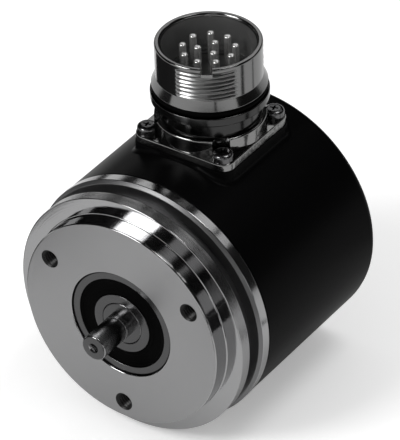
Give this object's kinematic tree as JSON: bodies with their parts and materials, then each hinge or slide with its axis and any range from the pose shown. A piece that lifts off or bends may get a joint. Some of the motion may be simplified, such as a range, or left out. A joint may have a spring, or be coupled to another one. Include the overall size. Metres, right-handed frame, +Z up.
{
  "type": "absolute rotary encoder",
  "caption": "Round multi-turn absolute rotary encoder with a synchro flange, a solid shaft and a radial threaded pin socket on a square plate.",
  "frame": {"origin": "on the shaft axis, in the plane of the pilot's front face", "axes": "+Z up along the socket's axis; the shaft points to -Y; +X completes the frame"},
  "size_m": [0.0594, 0.0666, 0.0829],
  "materials": {
    "turned_aluminium": "fine turned, bright edges",
    "bearing_steel": "ground",
    "cage_plastic": "moulded",
    "seal_rubber": "smooth black rubber",
    "spring_steel": "rolled",
    "shaft_steel": "ground and polished",
    "hub_aluminium": "turned",
    "disc_glass": "clear",
    "gear_brass": "hobbed",
    "gear_plastic": "moulded",
    "magnet": "sintered and plated",
    "carrier_plastic": "moulded",
    "lamp_resin": "clear resin",
    "chip_resin": "moulded resin",
    "circuit_board": "solder resist",
    "pillar_brass": "nickel-plated brass",
    "ribbon": "flat cable",
    "black_cover": "black, satin",
    "black_screws": "blackened",
    "nickel_shell": "nickel-plated",
    "insert_plastic": "moulded black",
    "contact_metal": "plated"
  },
  "bodies": {
    "housing": {"flange_body": "turned_aluminium", "front_bearing_outer_ring": "bearing_steel", "front_bearing_seal": "seal_rubber", "rear_bearing_outer_ring": "bearing_steel", "rear_bearing_shield": "spring_steel", "preload_spring": "spring_steel", "gear_base_plate": "carrier_plastic", "lamp_holder": "carrier_plastic", "lamp": "lamp_resin", "lamp_lens": "disc_glass", "scanning_mask": "disc_glass", "sensor_chip": "chip_resin", "sensor_board": "circuit_board", "interface_board": "circuit_board", "sensor_board_pillars": "pillar_brass", "gear_plate_pillars": "pillar_brass", "interface_board_pillars": "pillar_brass", "cover_pillars": "pillar_brass", "hall_sensors": "chip_resin", "signal_processor": "chip_resin", "link_sockets": "carrier_plastic", "board_link": "ribbon", "housing_cover": "black_cover", "cover_seal": "seal_rubber", "cover_screws": "black_screws", "connector_flange": "nickel_shell", "connector_barrel": "nickel_shell", "connector_seal": "seal_rubber", "connector_insert": "insert_plastic", "connector_contacts": "contact_metal", "connector_screws": "black_screws", "connector_board": "circuit_board", "ribbon_sockets": "carrier_plastic", "connector_ribbon": "ribbon"},
    "rotor": {"shaft": "shaft_steel", "front_bearing_inner_ring": "bearing_steel", "rear_bearing_inner_ring": "bearing_steel", "bearing_spacer": "bearing_steel", "disc_hub": "hub_aluminium", "code_disc": "disc_glass", "disc_clamp_ring": "hub_aluminium", "drive_pinion": "gear_brass"},
    "front_cage": {"front_bearing_cage": "cage_plastic"},
    "rear_cage": {"rear_bearing_cage": "cage_plastic"},
    "first_wheel": {"turn_wheel_1": "gear_plastic", "turn_magnet_1": "magnet"},
    "second_wheel": {"turn_wheel_2": "gear_plastic", "turn_magnet_2": "magnet"},
    "third_wheel": {"turn_wheel_3": "gear_plastic", "turn_magnet_3": "magnet"}
  },
  "joints": [
    {"name": "shaft_spin", "type": "hinge", "parent": "housing", "child": "rotor", "pos_m": [0, 0, 0], "axis": [0, 1, 0], "continuous": true},
    {"name": "front_cage_spin", "type": "hinge", "parent": "housing", "child": "front_cage", "pos_m": [0, 0, 0], "axis": [0, 1, 0], "continuous": true},
    {"name": "rear_cage_spin", "type": "hinge", "parent": "housing", "child": "rear_cage", "pos_m": [0, 0, 0], "axis": [0, 1, 0], "continuous": true},
    {"name": "first_wheel_spin", "type": "hinge", "parent": "housing", "child": "first_wheel", "pos_m": [-0.00877, 0, -0.00202], "axis": [0, 1, 0], "continuous": true},
    {"name": "second_wheel_spin", "type": "hinge", "parent": "housing", "child": "second_wheel", "pos_m": [0, 0, -0.00405], "axis": [0, 1, 0], "continuous": true},
    {"name": "third_wheel_spin", "type": "hinge", "parent": "housing", "child": "third_wheel", "pos_m": [0.00877, 0, -0.00202], "axis": [0, 1, 0], "continuous": true}
  ],
  "couplings": [
    {"joint": "front_cage_spin", "follows": "shaft_spin", "ratio": 0.37778},
    {"joint": "rear_cage_spin", "follows": "shaft_spin", "ratio": 0.40625},
    {"joint": "first_wheel_spin", "follows": "shaft_spin", "ratio": -0.25},
    {"joint": "second_wheel_spin", "follows": "shaft_spin", "ratio": 0.0625},
    {"joint": "third_wheel_spin", "follows": "shaft_spin", "ratio": -0.015625}
  ]
}
